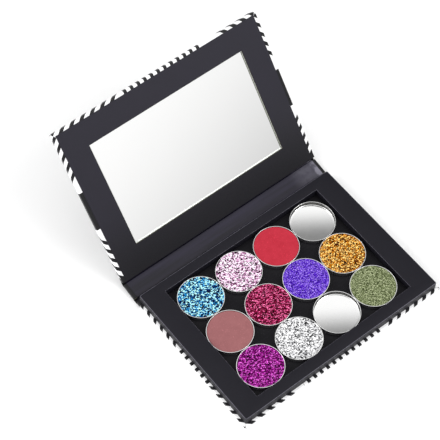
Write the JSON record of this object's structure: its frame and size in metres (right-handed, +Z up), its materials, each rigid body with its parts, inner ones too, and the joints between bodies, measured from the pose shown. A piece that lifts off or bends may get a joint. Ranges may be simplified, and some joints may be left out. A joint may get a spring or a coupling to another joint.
{
  "type": "eyeshadow palette",
  "caption": "Book-style eyeshadow palette: striped board case with a mirrored lid on paper hinges, and a black tray of loose round pans on a magnetic sheet.",
  "frame": {"origin": "centre of the base panel's underside, on the surface it stands on", "axes": "+X to the right along the hinge as seen from the front, +Y from the front edge towards the hinge, +Z up; the lid stands open at rest, leaning back behind the base"},
  "size_m": [0.136, 0.1667, 0.0816],
  "materials": {
    "printed_paper": "satin",
    "black_paper": "matte",
    "greyboard": "matte",
    "magnetic_rubber": "matte",
    "magnet": "satin",
    "tape": "matte",
    "mirror_glass": "polished",
    "tinplate": "polished",
    "powder_blue": "satin",
    "powder_pink": "satin",
    "powder_red": "matte",
    "powder_mauve": "matte",
    "powder_crimson": "satin",
    "powder_violet": "satin",
    "powder_gold": "satin",
    "powder_magenta": "satin",
    "powder_silver": "satin",
    "powder_green": "satin"
  },
  "bodies": {
    "base": {"base_board": "greyboard", "base_wrap": "printed_paper", "tray_frame": "greyboard", "tray_cover": "black_paper", "magnetic_sheet": "magnetic_rubber", "base_magnets": "magnet", "base_hinge_wrap": "printed_paper", "base_hinge_liner": "black_paper"},
    "spine": {"spine_board": "greyboard", "spine_wrap": "printed_paper", "spine_liner": "black_paper", "lid_hinge_wrap": "printed_paper", "lid_hinge_liner": "black_paper"},
    "lid": {"lid_backing_board": "greyboard", "lid_window_board": "greyboard", "lid_wrap": "printed_paper", "lid_liner": "black_paper", "lid_magnets": "magnet", "mirror_tape": "tape", "mirror": "mirror_glass"},
    "pan_blue": {"pan_blue": "tinplate", "powder_blue": "powder_blue"},
    "pan_pink": {"pan_pink": "tinplate", "powder_pink": "powder_pink"},
    "pan_red": {"pan_red": "tinplate", "powder_red": "powder_red"},
    "pan_empty_back": {"pan_empty_back": "tinplate"},
    "pan_mauve": {"pan_mauve": "tinplate", "powder_mauve": "powder_mauve"},
    "pan_crimson": {"pan_crimson": "tinplate", "powder_crimson": "powder_crimson"},
    "pan_violet": {"pan_violet": "tinplate", "powder_violet": "powder_violet"},
    "pan_gold": {"pan_gold": "tinplate", "powder_gold": "powder_gold"},
    "pan_magenta": {"pan_magenta": "tinplate", "powder_magenta": "powder_magenta"},
    "pan_silver": {"pan_silver": "tinplate", "powder_silver": "powder_silver"},
    "pan_empty_front": {"pan_empty_front": "tinplate"},
    "pan_green": {"pan_green": "tinplate", "powder_green": "powder_green"}
  },
  "joints": [
    {"name": "spine_fold", "type": "hinge", "parent": "base", "child": "spine", "pos_m": [0, 0.05015, 0.00015], "axis": [-1, 0, 0], "range_deg": [-79, 11], "deforming": ["base_hinge_wrap", "base_hinge_liner"]},
    {"name": "lid_fold", "type": "hinge", "parent": "spine", "child": "lid", "pos_m": [0, 0.06036, 0.00213], "axis": [-1, 0, 0], "range_deg": [-48, 42], "deforming": ["lid_hinge_wrap", "lid_hinge_liner"]},
    {"name": "lift_blue", "type": "slide", "parent": "base", "child": "pan_blue", "axis": [0, 0, 1], "range_m": [0, 0.02]},
    {"name": "lift_pink", "type": "slide", "parent": "base", "child": "pan_pink", "axis": [0, 0, 1], "range_m": [0, 0.02]},
    {"name": "lift_red", "type": "slide", "parent": "base", "child": "pan_red", "axis": [0, 0, 1], "range_m": [0, 0.02]},
    {"name": "lift_empty_back", "type": "slide", "parent": "base", "child": "pan_empty_back", "axis": [0, 0, 1], "range_m": [0, 0.02]},
    {"name": "lift_mauve", "type": "slide", "parent": "base", "child": "pan_mauve", "axis": [0, 0, 1], "range_m": [0, 0.02]},
    {"name": "lift_crimson", "type": "slide", "parent": "base", "child": "pan_crimson", "axis": [0, 0, 1], "range_m": [0, 0.02]},
    {"name": "lift_violet", "type": "slide", "parent": "base", "child": "pan_violet", "axis": [0, 0, 1], "range_m": [0, 0.02]},
    {"name": "lift_gold", "type": "slide", "parent": "base", "child": "pan_gold", "axis": [0, 0, 1], "range_m": [0, 0.02]},
    {"name": "lift_magenta", "type": "slide", "parent": "base", "child": "pan_magenta", "axis": [0, 0, 1], "range_m": [0, 0.02]},
    {"name": "lift_silver", "type": "slide", "parent": "base", "child": "pan_silver", "axis": [0, 0, 1], "range_m": [0, 0.02]},
    {"name": "lift_empty_front", "type": "slide", "parent": "base", "child": "pan_empty_front", "axis": [0, 0, 1], "range_m": [0, 0.02]},
    {"name": "lift_green", "type": "slide", "parent": "base", "child": "pan_green", "axis": [0, 0, 1], "range_m": [0, 0.02]}
  ]
}
